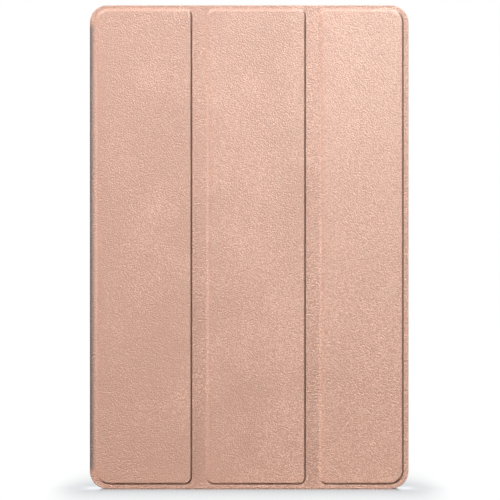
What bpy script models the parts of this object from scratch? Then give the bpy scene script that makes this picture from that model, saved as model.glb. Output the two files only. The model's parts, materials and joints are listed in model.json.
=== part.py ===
"""A tablet computer inside a folio case with a three-panel folding cover.

The case stands upright on its lower short edge, with the closed cover facing -Y. X runs across the cover,
Y from front to back and Z along the long side. The origin is under the middle of the case, on the surface
it stands on.
All sizes are in metres.
"""

import math

import bmesh
import bpy
from mathutils import Matrix, Vector

# Clearance between two pieces that touch or are glued on the real object.
GAP = 0.0003

# How far a cutting solid reaches past the surface that it cuts through.
THROUGH = 0.0040

# Tablet body.
TABLET_WIDTH = 0.1650
TABLET_LENGTH = 0.2544
TABLET_DEPTH = 0.0063
TABLET_CORNER = 0.0072
HOUSING_WALL = 0.0012
HOUSING_BACK = 0.0008
GLASS_THICKNESS = 0.0006
DISPLAY_THICKNESS = 0.0008
MID_FRAME_THICKNESS = 0.0005
BEZEL = 0.0070
ADHESIVE_WIDTH = 0.0020
ADHESIVE_THICKNESS = 0.0003
DRIVER_LENGTH = 0.0550

# Hard tray that grips the tablet, and the skin glued to its back.
TRAY_WALL = 0.0010
TRAY_BACK = 0.0012
LIP_THICKNESS = 0.0006
LIP_OVERLAP = 0.0012
BACK_SKIN_THICKNESS = 0.0007

# Folding cover. It overhangs the tray a little at the right, at the top and at the bottom.
SPINE_THICKNESS = 0.0018
SPINE_SKIN_THICKNESS = 0.0008
COVER_BASE = 0.0022
PAD_HEIGHT = 0.0008
SKIN_THICKNESS = 0.0006
LINING_THICKNESS = 0.0005
COVER_LIFT = 0.0003
COVER_TOP_OVERHANG = 0.0007
COVER_SIDE_OVERHANG = 0.0003
COVER_CORNER = 0.0095
PAD_OUTER_CORNER = 0.0065
PAD_FOLD_CORNER = 0.0033
SPINE_RIM = 0.0033
FREE_RIM = 0.0035
END_RIM = 0.00265
PAD_2_WIDTH = 0.0520
PAD_3_WIDTH = 0.0438
FOLD_GAP_1 = 0.0086
FOLD_GAP_2 = 0.0081
FOLD_STRIP_THICKNESS = 0.0012
PANEL_HEM = 0.0007
MAGNET_RADIUS = 0.0040
MAGNET_THICKNESS = 0.0008
MAGNET_FROM_END = 0.0300

# Keys in the right-hand side of the tablet, measured down from its upper end.
KEY_PROUD = 0.0005
KEY_INSET = 0.0002
KEY_FLANGE = 0.0006
KEY_TRAVEL = 0.0003
POWER_LENGTH = 0.0100
POWER_FROM_TOP = 0.0190
VOLUME_LENGTH = 0.0220
VOLUME_FROM_TOP = 0.0430
CARD_LENGTH = 0.0140
CARD_FROM_TOP = 0.0670
CARD_FACE_HEIGHT = 0.0016
CARD_TONGUE = 0.0170
CARD_TONGUE_HEIGHT = 0.0007
CASE_WINDOW_MARGIN = 0.0016
PORT_WINDOW_MARGIN = 0.0025
SOUND_WINDOW_MARGIN = 0.0030
CASE_WINDOW_HEIGHT = 0.0050

# Port and sound openings in the short sides.
PORT_WIDTH = 0.0089
PORT_HEIGHT = 0.0030
PORT_LENGTH = 0.0074
PORT_WALL = 0.0004
PORT_TONGUE = 0.0007
SOUND_SLOT_LENGTH = 0.0180
SOUND_SLOT_HEIGHT = 0.0014
SOUND_FROM_SIDE = 0.0280
SPEAKER_LENGTH = 0.0260
SPEAKER_WIDTH = 0.0110
SPEAKER_FROM_SIDE = 0.0090

# Rear camera, measured from the tablet's right-hand side and upper end.
CAMERA_FROM_SIDE = 0.0170
CAMERA_FROM_TOP = 0.0260
CAMERA_RING_RADIUS = 0.0055
CAMERA_RING_WALL = 0.0012
CAMERA_RING_PROUD = 0.0010
CAMERA_WINDOW_RADIUS = 0.0080
FLASH_BELOW_CAMERA = 0.0125
FLASH_RADIUS = 0.0020
FRONT_CAMERA_SIZE = 0.0038

# Zones of the inside, measured from the inner faces of the housing's short and long sides.
SIDE_CHANNEL = 0.0088
TOP_ZONE = 0.0140
BOARD_ZONE_END = 0.0740
MAIN_BOARD_WIDTH = 0.1000
BATTERY_TOP = 0.0760
BATTERY_BOTTOM = 0.0220
CELL_SPACING = 0.0080
FLEX_WIDTH = 0.0055
FLEX_THICKNESS = 0.0004
BOARD_THICKNESS = 0.0006
SCREW_HEAD_RADIUS = 0.0012
SCREW_RADIUS = 0.0006
BOSS_RADIUS = 0.0016
SCREW_FROM_WALL = 0.0047
SCREW_FROM_END = 0.0300
SCREW_BELOW_MIDDLE = 0.0240
SCREW_BELOW_CARD = 0.0840

# Chips on the main board, and the can over them.
CHIP_THICKNESS = 0.0008
PROCESSOR_SIZE = 0.0140
PROCESSOR_FROM_LEFT = 0.0300
CHIP_SPACING = 0.0200
MEMORY_WIDTH = 0.0120
MEMORY_LENGTH = 0.0130
SHIELD_MARGIN = 0.0030
SENSOR_SIZE = 0.0030
SENSOR_FROM_EDGE = 0.0040

# Lower board, flex cable, antennas and microphone, measured from the tablet's middle.
LOWER_BOARD_WIDTH = 0.0600
FLEX_OVERLAP = 0.0060
ANTENNA_FROM_MIDDLE = 0.0060
ANTENNA_LENGTH = 0.0200
ANTENNA_WIDTH = 0.0080
MICROPHONE_FROM_MIDDLE = 0.0140
MICROPHONE_WIDTH = 0.0030
MICROPHONE_THICKNESS = 0.0010
MICROPHONE_LENGTH = 0.0040

# Lens, switches behind the keys, and the well that holds the card.
LENS_THICKNESS = 0.0005
SWITCH_DEPTH = 0.0012
SWITCH_HEIGHT = 0.0018
SWITCH_LENGTH = 0.0036
CARD_WELL_RIM = 0.0012
CARD_WELL_FROM_FACE = 0.0015

# Positions across the width. The case's left side is the spine, and the cover is centred on X = 0.
spine_pivot = SPINE_THICKNESS / 2
case_width = SPINE_THICKNESS + GAP + 2 * (TRAY_WALL + GAP) + TABLET_WIDTH + COVER_SIDE_OVERHANG
cover_left = -case_width / 2
cover_right = case_width / 2
spine_inner = cover_left + SPINE_THICKNESS
tray_left = spine_inner + GAP
tray_right = cover_right - COVER_SIDE_OVERHANG
tablet_left = tray_left + TRAY_WALL + GAP
tablet_right = tray_right - TRAY_WALL - GAP
inner_left = tablet_left + HOUSING_WALL
inner_right = tablet_right - HOUSING_WALL
tablet_middle = (tablet_left + tablet_right) / 2
hinge_x = cover_left + spine_pivot

# Positions along the length.
tray_bottom = 0.0
tablet_bottom = tray_bottom + TRAY_WALL + GAP
tablet_top = tablet_bottom + TABLET_LENGTH
tray_top = tablet_top + GAP + TRAY_WALL
inner_bottom = tablet_bottom + HOUSING_WALL
inner_top = tablet_top - HOUSING_WALL
cover_bottom = tray_bottom + COVER_LIFT
cover_top = tray_top + COVER_TOP_OVERHANG

# Positions from front to back.
case_depth = (
    PAD_HEIGHT
    + COVER_BASE
    + GAP
    + LIP_THICKNESS
    + GAP
    + TABLET_DEPTH
    + GAP
    + TRAY_BACK
    + GAP
    + BACK_SKIN_THICKNESS
)
pad_face = -case_depth / 2
base_face = pad_face + PAD_HEIGHT
cover_inner = base_face + COVER_BASE
lip_front = cover_inner + GAP
lip_back = lip_front + LIP_THICKNESS
tablet_front = lip_back + GAP
glass_back = tablet_front + GLASS_THICKNESS
display_front = glass_back + GAP
display_back = display_front + DISPLAY_THICKNESS
mid_front = display_back + GAP
mid_back = mid_front + MID_FRAME_THICKNESS
works_front = mid_back + GAP
tablet_back = tablet_front + TABLET_DEPTH
housing_floor = tablet_back - HOUSING_BACK
works_back = housing_floor - GAP
works_middle = (works_front + works_back) / 2
tray_floor = tablet_back + GAP
tray_back = tray_floor + TRAY_BACK
case_back = case_depth / 2
back_skin_front = tray_back + GAP
spine_hinge_y = case_back - spine_pivot
cover_hinge_y = pad_face + spine_pivot
strip_radius = FOLD_STRIP_THICKNESS / 2
fold_y = base_face + strip_radius

# Panels and fold axes. Panel 1 takes the width that the other two panels, the folds and the rims leave.
panel_clear = strip_radius + GAP
pad_3_right = cover_right - FREE_RIM
pad_3_left = pad_3_right - PAD_3_WIDTH
pad_2_right = pad_3_left - FOLD_GAP_2
pad_2_left = pad_2_right - PAD_2_WIDTH
pad_1_right = pad_2_left - FOLD_GAP_1
pad_1_left = cover_left + SPINE_RIM
panel_1_edge = pad_1_right + PANEL_HEM
panel_2_edges = (pad_2_left - PANEL_HEM, pad_2_right + PANEL_HEM)
panel_3_edge = pad_3_left - PANEL_HEM
fold_axes = {
    "web_1": panel_1_edge + panel_clear,
    "panel_2": panel_2_edges[0] - panel_clear,
    "web_2": panel_2_edges[1] + panel_clear,
    "panel_3": panel_3_edge - panel_clear,
}

# Pivot of each moving piece. Its empty stands there and carries the piece.
key_middle = works_middle
key_depth = works_back - works_front - 2 * KEY_INSET
power_z = tablet_top - POWER_FROM_TOP
volume_z = tablet_top - VOLUME_FROM_TOP
card_z = tablet_top - CARD_FROM_TOP
volume_pivot_x = inner_right + HOUSING_WALL / 2
PIVOTS = {
    "spine": (hinge_x, spine_hinge_y, 0.0),
    "panel_1": (hinge_x, cover_hinge_y, 0.0),
    "web_1": (fold_axes["web_1"], fold_y, 0.0),
    "panel_2": (fold_axes["panel_2"], fold_y, 0.0),
    "web_2": (fold_axes["web_2"], fold_y, 0.0),
    "panel_3": (fold_axes["panel_3"], fold_y, 0.0),
    "power_button": (tablet_right, key_middle, power_z),
    "volume_rocker": (volume_pivot_x, key_middle, volume_z),
    "card_tray": (tablet_right, key_middle, card_z),
}

# Colour, roughness and metallic value of each finish.
FINISHES = {
    "leatherette": ((0.68, 0.42, 0.33), 0.55, 0.0),
    "microfibre": ((0.50, 0.36, 0.31), 0.95, 0.0),
    "board": ((0.35, 0.31, 0.27), 0.90, 0.0),
    "tray": ((0.62, 0.42, 0.35), 0.45, 0.0),
    "aluminium": ((0.60, 0.60, 0.62), 0.35, 1.0),
    "glass": ((0.02, 0.02, 0.025), 0.05, 0.0),
    "black_plastic": ((0.03, 0.03, 0.03), 0.50, 0.0),
    "circuit": ((0.02, 0.10, 0.06), 0.50, 0.0),
    "steel": ((0.55, 0.55, 0.57), 0.30, 1.0),
    "foil": ((0.05, 0.05, 0.06), 0.40, 0.3),
    "flex": ((0.45, 0.25, 0.05), 0.40, 0.0),
    "clear": ((0.85, 0.85, 0.80), 0.10, 0.0),
}

for old_object in list(bpy.data.objects):
    bpy.data.objects.remove(old_object, do_unlink=True)

part_collection = bpy.data.collections.new("tablet_in_folio")
cutter_collection = bpy.data.collections.new("cutters")
bpy.context.scene.collection.children.link(part_collection)
bpy.context.scene.collection.children.link(cutter_collection)


def make_pivots():
    """One empty on the axis of each moving piece."""
    empties = {}
    for body, place in PIVOTS.items():
        empty = bpy.data.objects.new(f"{body}_pivot", None)
        empty.location = place
        part_collection.objects.link(empty)
        empties[body] = empty
    return empties


pivots = make_pivots()


def make_material(name, finish):
    colour, roughness, metallic = FINISHES[finish]
    material = bpy.data.materials.new(f"{name}_{finish}")
    material.use_nodes = True
    shader = material.node_tree.nodes["Principled BSDF"]
    shader.inputs["Base Color"].default_value = (*colour, 1.0)
    shader.inputs["Roughness"].default_value = roughness
    shader.inputs["Metallic"].default_value = metallic
    material.diffuse_color = (*colour, 1.0)
    return material


def add_piece(name, mesh, finish, body=None, smooth=False):
    """A visible piece. Its mesh is in world space, and a moving piece hangs on its pivot."""
    mesh.name = name
    mesh.materials.append(make_material(name, finish))
    piece = bpy.data.objects.new(name, mesh)
    part_collection.objects.link(piece)
    if body:
        piece.parent = pivots[body]
        piece.matrix_parent_inverse = Matrix.Translation(-Vector(PIVOTS[body]))
    if smooth:
        mesh.shade_smooth()
        mesh.set_sharp_from_angle(angle=math.radians(40))
    return piece


def combine(piece, mesh, name, operation):
    """A Boolean on the piece with a helper solid made from the mesh."""
    helper = bpy.data.objects.new(f"{piece.name}_{name}", mesh)
    helper.hide_render = True
    helper.display_type = "WIRE"
    cutter_collection.objects.link(helper)
    modifier = piece.modifiers.new(name, "BOOLEAN")
    modifier.operation = operation
    modifier.solver = "EXACT"
    modifier.object = helper


def cut(piece, mesh, name):
    combine(piece, mesh, name, "DIFFERENCE")


def join(piece, mesh, name):
    combine(piece, mesh, name, "UNION")


def block(low, high):
    """A box between two corners."""
    low = Vector(low)
    high = Vector(high)
    shape = bmesh.new()
    bmesh.ops.create_cube(shape, size=1.0)
    bmesh.ops.scale(shape, vec=high - low, verts=shape.verts)
    bmesh.ops.translate(shape, vec=(low + high) / 2, verts=shape.verts)
    mesh = bpy.data.meshes.new("block")
    shape.to_mesh(mesh)
    shape.free()
    return mesh


def disc(centre, radius, depth, segments=24):
    """A cylinder along Y, centred on the point."""
    shape = bmesh.new()
    bmesh.ops.create_cone(
        shape, cap_ends=True, segments=segments, radius1=radius, radius2=radius, depth=depth
    )
    upright = Matrix.Rotation(math.radians(90), 3, "X")
    bmesh.ops.rotate(shape, cent=(0, 0, 0), matrix=upright, verts=shape.verts)
    bmesh.ops.translate(shape, vec=centre, verts=shape.verts)
    mesh = bpy.data.meshes.new("disc")
    shape.to_mesh(mesh)
    shape.free()
    return mesh


def arc(centre, radius, start, end, steps):
    """Points on an arc, with its angles in degrees."""
    points = []
    for step in range(steps + 1):
        angle = math.radians(start + (end - start) * step / steps)
        points.append((centre[0] + radius * math.cos(angle), centre[1] + radius * math.sin(angle)))
    return points


def circle(centre, radius, points):
    return arc(centre, radius, 0, 360 * (points - 1) / points, points - 1)


def rounded_outline(left, right, bottom, top, radii, steps=6):
    """A rectangle with its own radius at each corner: lower left, lower right, upper right, upper left."""
    lower_left, lower_right, upper_right, upper_left = radii
    points = arc((left + lower_left, bottom + lower_left), lower_left, 180, 270, steps)
    points += arc((right - lower_right, bottom + lower_right), lower_right, 270, 360, steps)
    points += arc((right - upper_right, top - upper_right), upper_right, 0, 90, steps)
    points += arc((left + upper_left, top - upper_left), upper_left, 90, 180, steps)
    return points


def pill_outline(centre, length, height, steps=8):
    """A slot with round ends, longer along the first axis."""
    radius = height / 2
    reach = length / 2 - radius
    points = arc((centre[0] + reach, centre[1]), radius, -90, 90, steps)
    points += arc((centre[0] - reach, centre[1]), radius, 90, 270, steps)
    return points


def flat_solid(outline, thickness, holes=()):
    """A flat outline with its holes, extruded along Z about zero."""
    curve = bpy.data.curves.new("outline", "CURVE")
    curve.dimensions = "2D"
    curve.fill_mode = "BOTH"
    curve.extrude = thickness / 2
    for loop in (outline, *holes):
        spline = curve.splines.new("POLY")
        spline.points.add(len(loop) - 1)
        for point, place in zip(spline.points, loop):
            point.co = (*place, 0.0, 1.0)
        spline.use_cyclic_u = True
    guide = bpy.data.objects.new("outline", curve)
    part_collection.objects.link(guide)
    graph = bpy.context.evaluated_depsgraph_get()
    mesh = bpy.data.meshes.new_from_object(guide.evaluated_get(graph))
    bpy.data.objects.remove(guide)
    bpy.data.curves.remove(curve)
    shape = bmesh.new()
    shape.from_mesh(mesh)
    bmesh.ops.remove_doubles(shape, verts=shape.verts, dist=0.000001)
    if not holes:
        bmesh.ops.dissolve_limit(shape, angle_limit=math.radians(1), verts=shape.verts, edges=shape.edges)
    bmesh.ops.recalc_face_normals(shape, faces=shape.faces)
    shape.to_mesh(mesh)
    shape.free()
    return mesh


def plate(outline, front, back, holes=()):
    """An outline in X and Z, as thick as the way from front to back along Y."""
    mesh = flat_solid(outline, back - front, holes)
    mesh.transform(Matrix.Rotation(math.radians(90), 4, "X"))
    mesh.transform(Matrix.Translation((0, (front + back) / 2, 0)))
    return mesh


def column(outline, bottom, top, holes=()):
    """An outline in X and Y that runs up Z."""
    mesh = flat_solid(outline, top - bottom, holes)
    mesh.transform(Matrix.Translation((0, 0, (bottom + top) / 2)))
    return mesh


def side_bar(outline, left, right):
    """An outline in Z and Y that runs across X."""
    mesh = flat_solid(outline, right - left)
    mesh.transform(Matrix.Rotation(math.radians(-90), 4, "Y"))
    mesh.transform(Matrix.Translation(((left + right) / 2, 0, 0)))
    return mesh


def inset_outline(edges, inset, radii, steps=6):
    """A rounded rectangle drawn in by the inset, with its radii drawn in as far as they go."""
    left, right, bottom, top = edges
    smaller = [max(radius - inset, inset) for radius in radii]
    return rounded_outline(left + inset, right - inset, bottom + inset, top - inset, smaller, steps)


# Folio tray and back skin -------------------------------------------------------------------------

tray_edges = (tray_left, tray_right, tray_bottom, tray_top)
tray_radii = (TABLET_CORNER + GAP + TRAY_WALL,) * 4
camera_x = tablet_right - CAMERA_FROM_SIDE
camera_z = tablet_top - CAMERA_FROM_TOP
flash_z = camera_z - FLASH_BELOW_CAMERA


def camera_window(margin=0.0):
    """Upright slot in the case that clears the camera and the flash."""
    radius = CAMERA_WINDOW_RADIUS + margin
    points = arc((camera_x, flash_z), radius, 180, 360, 10)
    points += arc((camera_x, camera_z), radius, 0, 180, 10)
    return points


def case_window(middle, length):
    """Slot through a side wall of the case, in Z and Y."""
    return pill_outline((middle, key_middle), length, CASE_WINDOW_HEIGHT)


def make_tray():
    tray = add_piece(
        "tray_shell", plate(inset_outline(tray_edges, 0.0, tray_radii), lip_front, tray_back), "tray"
    )
    cavity = inset_outline(tray_edges, TRAY_WALL, tray_radii)
    mouth = inset_outline(tray_edges, TRAY_WALL + LIP_OVERLAP, tray_radii)
    cut(tray, plate(cavity, lip_back, tray_floor), "cavity")
    cut(tray, plate(mouth, lip_front - THROUGH, lip_back + GAP), "mouth")
    cut(tray, plate(camera_window(), tray_floor - GAP, tray_back + THROUGH), "camera_window")
    keys_low = volume_z - VOLUME_LENGTH / 2 - CASE_WINDOW_MARGIN
    keys_high = power_z + POWER_LENGTH / 2 + CASE_WINDOW_MARGIN
    keys_window = case_window((keys_low + keys_high) / 2, keys_high - keys_low)
    card_window = case_window(card_z, CARD_LENGTH + 2 * CASE_WINDOW_MARGIN)
    wall_in = tray_right - TRAY_WALL - GAP
    cut(tray, side_bar(keys_window, wall_in, tray_right + THROUGH), "keys_window")
    cut(tray, side_bar(card_window, wall_in, tray_right + THROUGH), "card_window")
    port_length = PORT_WIDTH + 2 * PORT_WINDOW_MARGIN
    port_window = pill_outline((tablet_middle, key_middle), port_length, CASE_WINDOW_HEIGHT)
    lower_wall = (tray_bottom - THROUGH, tray_bottom + TRAY_WALL + GAP)
    upper_wall = (tray_top - TRAY_WALL - GAP, tray_top + THROUGH)
    cut(tray, column(port_window, *lower_wall), "port_window")
    sound_length = SOUND_SLOT_LENGTH + 2 * SOUND_WINDOW_MARGIN
    for side, middle in sound_middles.items():
        outline = pill_outline((middle, key_middle), sound_length, CASE_WINDOW_HEIGHT)
        cut(tray, column(outline, *lower_wall), f"lower_{side}_window")
        cut(tray, column(outline, *upper_wall), f"upper_{side}_window")


sound_middles = {"left": tablet_left + SOUND_FROM_SIDE, "right": tablet_right - SOUND_FROM_SIDE}
make_tray()
add_piece(
    "back_skin",
    plate(inset_outline(tray_edges, 0.0, tray_radii), back_skin_front, case_back, [camera_window(GAP)]),
    "leatherette",
)

# Folio cover --------------------------------------------------------------------------------------

cover_z = (cover_bottom, cover_top)


def silhouette(left, right, front, back):
    """The part of the cover's rounded front outline between two X values, as a solid to keep."""
    outline = rounded_outline(cover_left, cover_right, *cover_z, (COVER_CORNER,) * 4, 10)
    kept = []
    for step in range(len(outline)):
        here = outline[step]
        after = outline[(step + 1) % len(outline)]
        if left <= here[0] <= right:
            kept.append(here)
        crossed = [bound for bound in (left, right) if (here[0] - bound) * (after[0] - bound) < 0]
        for bound in sorted(crossed, reverse=after[0] < here[0]):
            share = (bound - here[0]) / (after[0] - here[0])
            kept.append((bound, here[1] + share * (after[1] - here[1])))
    return plate(kept, front, back)


def make_spine():
    middle = (hinge_x, (spine_hinge_y + cover_hinge_y) / 2)
    length = spine_hinge_y - cover_hinge_y + SPINE_THICKNESS
    outline = [(middle[0] + v, middle[1] + u) for u, v in pill_outline((0, 0), length, SPINE_THICKNESS)]
    spine = add_piece("spine_skin", column(outline[::-1], *cover_z), "leatherette", "spine")
    trim = silhouette(
        cover_left - THROUGH, spine_inner + THROUGH, pad_face - THROUGH, case_back + THROUGH
    )
    combine(spine, trim, "rounded_ends", "INTERSECT")
    ends = cover_bottom + COVER_CORNER, cover_top - COVER_CORNER
    pocket_reach = (spine_hinge_y - cover_hinge_y) / 2 - SPINE_THICKNESS / 2
    floor = cover_left + SPINE_SKIN_THICKNESS
    cut(
        spine,
        block(
            (floor, middle[1] - pocket_reach, ends[0]),
            (spine_inner + THROUGH, middle[1] + pocket_reach, ends[1]),
        ),
        "board_pocket",
    )
    board_reach = pocket_reach - GAP
    add_piece(
        "spine_board",
        block(
            (floor + GAP, middle[1] - board_reach, ends[0] + GAP),
            (spine_inner, middle[1] + board_reach, ends[1] - GAP),
        ),
        "board",
        "spine",
    )


def make_panel(number, panel_edges, pad_edges, pad_radii):
    """Skin with its raised pad, the stiffener board in the pad, and the lining on the inside."""
    body = f"panel_{number}"
    skin_back = cover_inner - LINING_THICKNESS - GAP
    pad = (*pad_edges, cover_bottom + END_RIM, cover_top - END_RIM)
    skin = add_piece(f"{body}_skin", silhouette(*panel_edges, base_face, skin_back), "leatherette", body)
    join(skin, plate(inset_outline(pad, 0.0, pad_radii), pad_face, base_face + GAP), "raised_pad")
    pocket_front = pad_face + SKIN_THICKNESS
    cut(
        skin,
        plate(inset_outline(pad, SKIN_THICKNESS, pad_radii), pocket_front, skin_back + THROUGH),
        "board_pocket",
    )
    board = add_piece(
        f"{body}_board",
        plate(inset_outline(pad, SKIN_THICKNESS + GAP, pad_radii), pocket_front + GAP, skin_back),
        "board",
        body,
    )
    add_piece(f"{body}_lining", silhouette(*panel_edges, skin_back + GAP, cover_inner), "microfibre", body)
    return board, skin_back


def make_closure(board, board_back):
    """Two magnets let into the free edge of the last panel's board."""
    magnet_x = pad_3_right - SKIN_THICKNESS - 2 * GAP - 2 * MAGNET_RADIUS
    depth = MAGNET_THICKNESS + 2 * GAP
    heights = {"lower": cover_bottom + MAGNET_FROM_END, "upper": cover_top - MAGNET_FROM_END}
    for end, height in heights.items():
        recess = disc((magnet_x, board_back + THROUGH / 2 - depth, height), MAGNET_RADIUS + GAP, THROUGH)
        cut(board, recess, f"{end}_recess")
        place = (magnet_x, board_back - MAGNET_THICKNESS / 2, height)
        magnet = disc(place, MAGNET_RADIUS, MAGNET_THICKNESS)
        add_piece(f"cover_magnet_{end}", magnet, "steel", "panel_3", smooth=True)


def make_fold_strip(number, left, right):
    """Thin strip with a round bead along each edge, centred on the two axes that it bends about."""
    length = right - left + FOLD_STRIP_THICKNESS
    outline = pill_outline(((left + right) / 2, fold_y), length, FOLD_STRIP_THICKNESS)
    add_piece(f"fold_strip_{number}", column(outline, *cover_z), "leatherette", f"web_{number}", smooth=True)


make_spine()
make_panel(
    1,
    (tray_left, panel_1_edge),
    (pad_1_left, pad_1_right),
    (PAD_OUTER_CORNER, PAD_FOLD_CORNER, PAD_FOLD_CORNER, PAD_OUTER_CORNER),
)
make_panel(2, panel_2_edges, (pad_2_left, pad_2_right), (PAD_FOLD_CORNER,) * 4)
last_board, last_board_back = make_panel(
    3,
    (panel_3_edge, cover_right),
    (pad_3_left, pad_3_right),
    (PAD_FOLD_CORNER, PAD_OUTER_CORNER, PAD_OUTER_CORNER, PAD_FOLD_CORNER),
)
make_closure(last_board, last_board_back)
make_fold_strip(1, fold_axes["web_1"], fold_axes["panel_2"])
make_fold_strip(2, fold_axes["web_2"], fold_axes["panel_3"])

# Tablet housing -----------------------------------------------------------------------------------

tablet_edges = (tablet_left, tablet_right, tablet_bottom, tablet_top)
tablet_radii = (TABLET_CORNER,) * 4
screw_left = inner_left + SCREW_FROM_WALL
screw_right = inner_right - SCREW_FROM_WALL
tablet_half = (tablet_bottom + tablet_top) / 2
screw_places = [
    (screw_left, inner_bottom + SCREW_FROM_END),
    (screw_left, tablet_half),
    (screw_left, inner_top - SCREW_FROM_END),
    (screw_right, inner_bottom + SCREW_FROM_END),
    (screw_right, tablet_half - SCREW_BELOW_MIDDLE),
    (screw_right, inner_top - SCREW_BELOW_CARD),
]
port_middle = (tablet_middle, works_back - PORT_HEIGHT / 2)


def key_slot(middle, length, clearance):
    """Slot in the right-hand wall for a key, in Z and Y."""
    return pill_outline((middle, key_middle), length + 2 * clearance, key_depth + 2 * clearance)


def make_housing():
    body = plate(inset_outline(tablet_edges, 0.0, tablet_radii), tablet_front, tablet_back)
    housing = add_piece("rear_housing", body, "aluminium")
    hollow = inset_outline(tablet_edges, HOUSING_WALL, tablet_radii)
    cut(housing, plate(hollow, tablet_front - THROUGH, housing_floor), "hollow")
    for number, (x, z) in enumerate(screw_places, 1):
        depth = housing_floor + GAP - works_front
        join(housing, disc((x, works_front + depth / 2, z), BOSS_RADIUS, depth, 16), f"boss_{number}")
        bore = housing_floor - works_front - GAP
        cut(
            housing,
            disc((x, works_front - GAP + bore / 2, z), SCREW_RADIUS + GAP, bore, 12),
            f"bore_{number}",
        )
    ring_hole = disc((camera_x, tablet_back, camera_z), CAMERA_RING_RADIUS + GAP, THROUGH)
    cut(housing, ring_hole, "camera_hole")
    cut(housing, disc((camera_x, tablet_back, flash_z), FLASH_RADIUS + GAP, THROUGH, 16), "flash_hole")
    for name, middle, length in (("power", power_z, POWER_LENGTH), ("volume", volume_z, VOLUME_LENGTH)):
        slot = side_bar(key_slot(middle, length, GAP), inner_right - GAP, tablet_right + THROUGH)
        cut(housing, slot, f"{name}_slot")
    card = pill_outline((card_z, key_middle), CARD_LENGTH + 2 * GAP, CARD_FACE_HEIGHT + 2 * GAP)
    cut(housing, side_bar(card, inner_right - GAP, tablet_right + THROUGH), "card_slot")
    port = pill_outline(port_middle, PORT_WIDTH + 2 * GAP, PORT_HEIGHT + 2 * GAP)
    cut(housing, column(port, tablet_bottom - THROUGH, inner_bottom + GAP), "port_hole")
    for side, middle in sound_middles.items():
        slot = pill_outline((middle, works_middle), SOUND_SLOT_LENGTH, SOUND_SLOT_HEIGHT)
        cut(housing, column(slot, tablet_bottom - THROUGH, inner_bottom + GAP), f"lower_{side}_sound")
        cut(housing, column(slot, inner_top - GAP, tablet_top + THROUGH), f"upper_{side}_sound")


make_housing()

# Display stack ------------------------------------------------------------------------------------

glass_inset = HOUSING_WALL + GAP
add_piece(
    "cover_glass",
    plate(inset_outline(tablet_edges, glass_inset, tablet_radii), tablet_front, glass_back),
    "glass",
)
adhesive_front = glass_back + GAP
add_piece(
    "display_adhesive",
    plate(
        inset_outline(tablet_edges, glass_inset, tablet_radii),
        adhesive_front,
        adhesive_front + ADHESIVE_THICKNESS,
        [inset_outline(tablet_edges, glass_inset + ADHESIVE_WIDTH, tablet_radii)],
    ),
    "black_plastic",
)
display_low = (inner_left + BEZEL, display_front, inner_bottom + BEZEL)
display_high = (inner_right - BEZEL, display_back, inner_top - BEZEL)
add_piece("display_panel", block(display_low, display_high), "foil")
driver_bottom = inner_bottom + ADHESIVE_WIDTH + 2 * GAP
driver_left = tablet_middle + PORT_WIDTH / 2 + 2 * GAP
add_piece(
    "display_driver",
    block(
        (driver_left, display_front, driver_bottom),
        (driver_left + DRIVER_LENGTH, display_back, inner_bottom + BEZEL - GAP),
    ),
    "circuit",
)

front_camera_half = FRONT_CAMERA_SIZE / 2
front_camera_x = inner_right - ADHESIVE_WIDTH - 2 * GAP - front_camera_half


def make_mid_frame():
    """Plate behind the display, with holes for the screws and the front camera and a notch for the port."""
    outline = inset_outline(tablet_edges, glass_inset, tablet_radii)
    notch_half = PORT_WIDTH / 2 + GAP
    notch_top = tablet_bottom + PORT_LENGTH + GAP
    edge = tablet_bottom + glass_inset
    notch = [
        (tablet_middle - notch_half, edge),
        (tablet_middle - notch_half, notch_top),
        (tablet_middle + notch_half, notch_top),
        (tablet_middle + notch_half, edge),
    ]
    corner_points = len(outline) // 4
    holes = [circle(place, SCREW_RADIUS + GAP, 12) for place in screw_places]
    reach = front_camera_half + GAP
    holes.append(
        [
            (front_camera_x - reach, tablet_half - reach),
            (front_camera_x + reach, tablet_half - reach),
            (front_camera_x + reach, tablet_half + reach),
            (front_camera_x - reach, tablet_half + reach),
        ]
    )
    outline = outline[:corner_points] + notch + outline[corner_points:]
    add_piece("mid_frame", plate(outline, mid_front, mid_back, holes), "aluminium")


make_mid_frame()
for number, (x, z) in enumerate(screw_places, 1):
    head_back = mid_front - GAP
    head_front = head_back - 2 * GAP
    screw = add_piece(
        f"frame_screw_{number}",
        disc((x, (head_front + head_back) / 2, z), SCREW_HEAD_RADIUS, head_back - head_front, 12),
        "steel",
        smooth=True,
    )
    shank_front = head_front + GAP
    tip = housing_floor - 4 * GAP
    join(screw, disc((x, (shank_front + tip) / 2, z), SCREW_RADIUS, tip - shank_front, 10), "shank")

# Electronics --------------------------------------------------------------------------------------

battery_left = inner_left + SIDE_CHANNEL
battery_right = inner_right - SIDE_CHANNEL
battery_low = inner_bottom + BATTERY_BOTTOM
battery_high = inner_top - BATTERY_TOP
cells = {
    "left": (battery_left, tablet_middle - CELL_SPACING / 2),
    "right": (tablet_middle + CELL_SPACING / 2, battery_right),
}
for side, (left, right) in cells.items():
    cell = block((left, works_front, battery_low), (right, works_back, battery_high))
    add_piece(f"battery_cell_{side}", cell, "foil")

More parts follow.
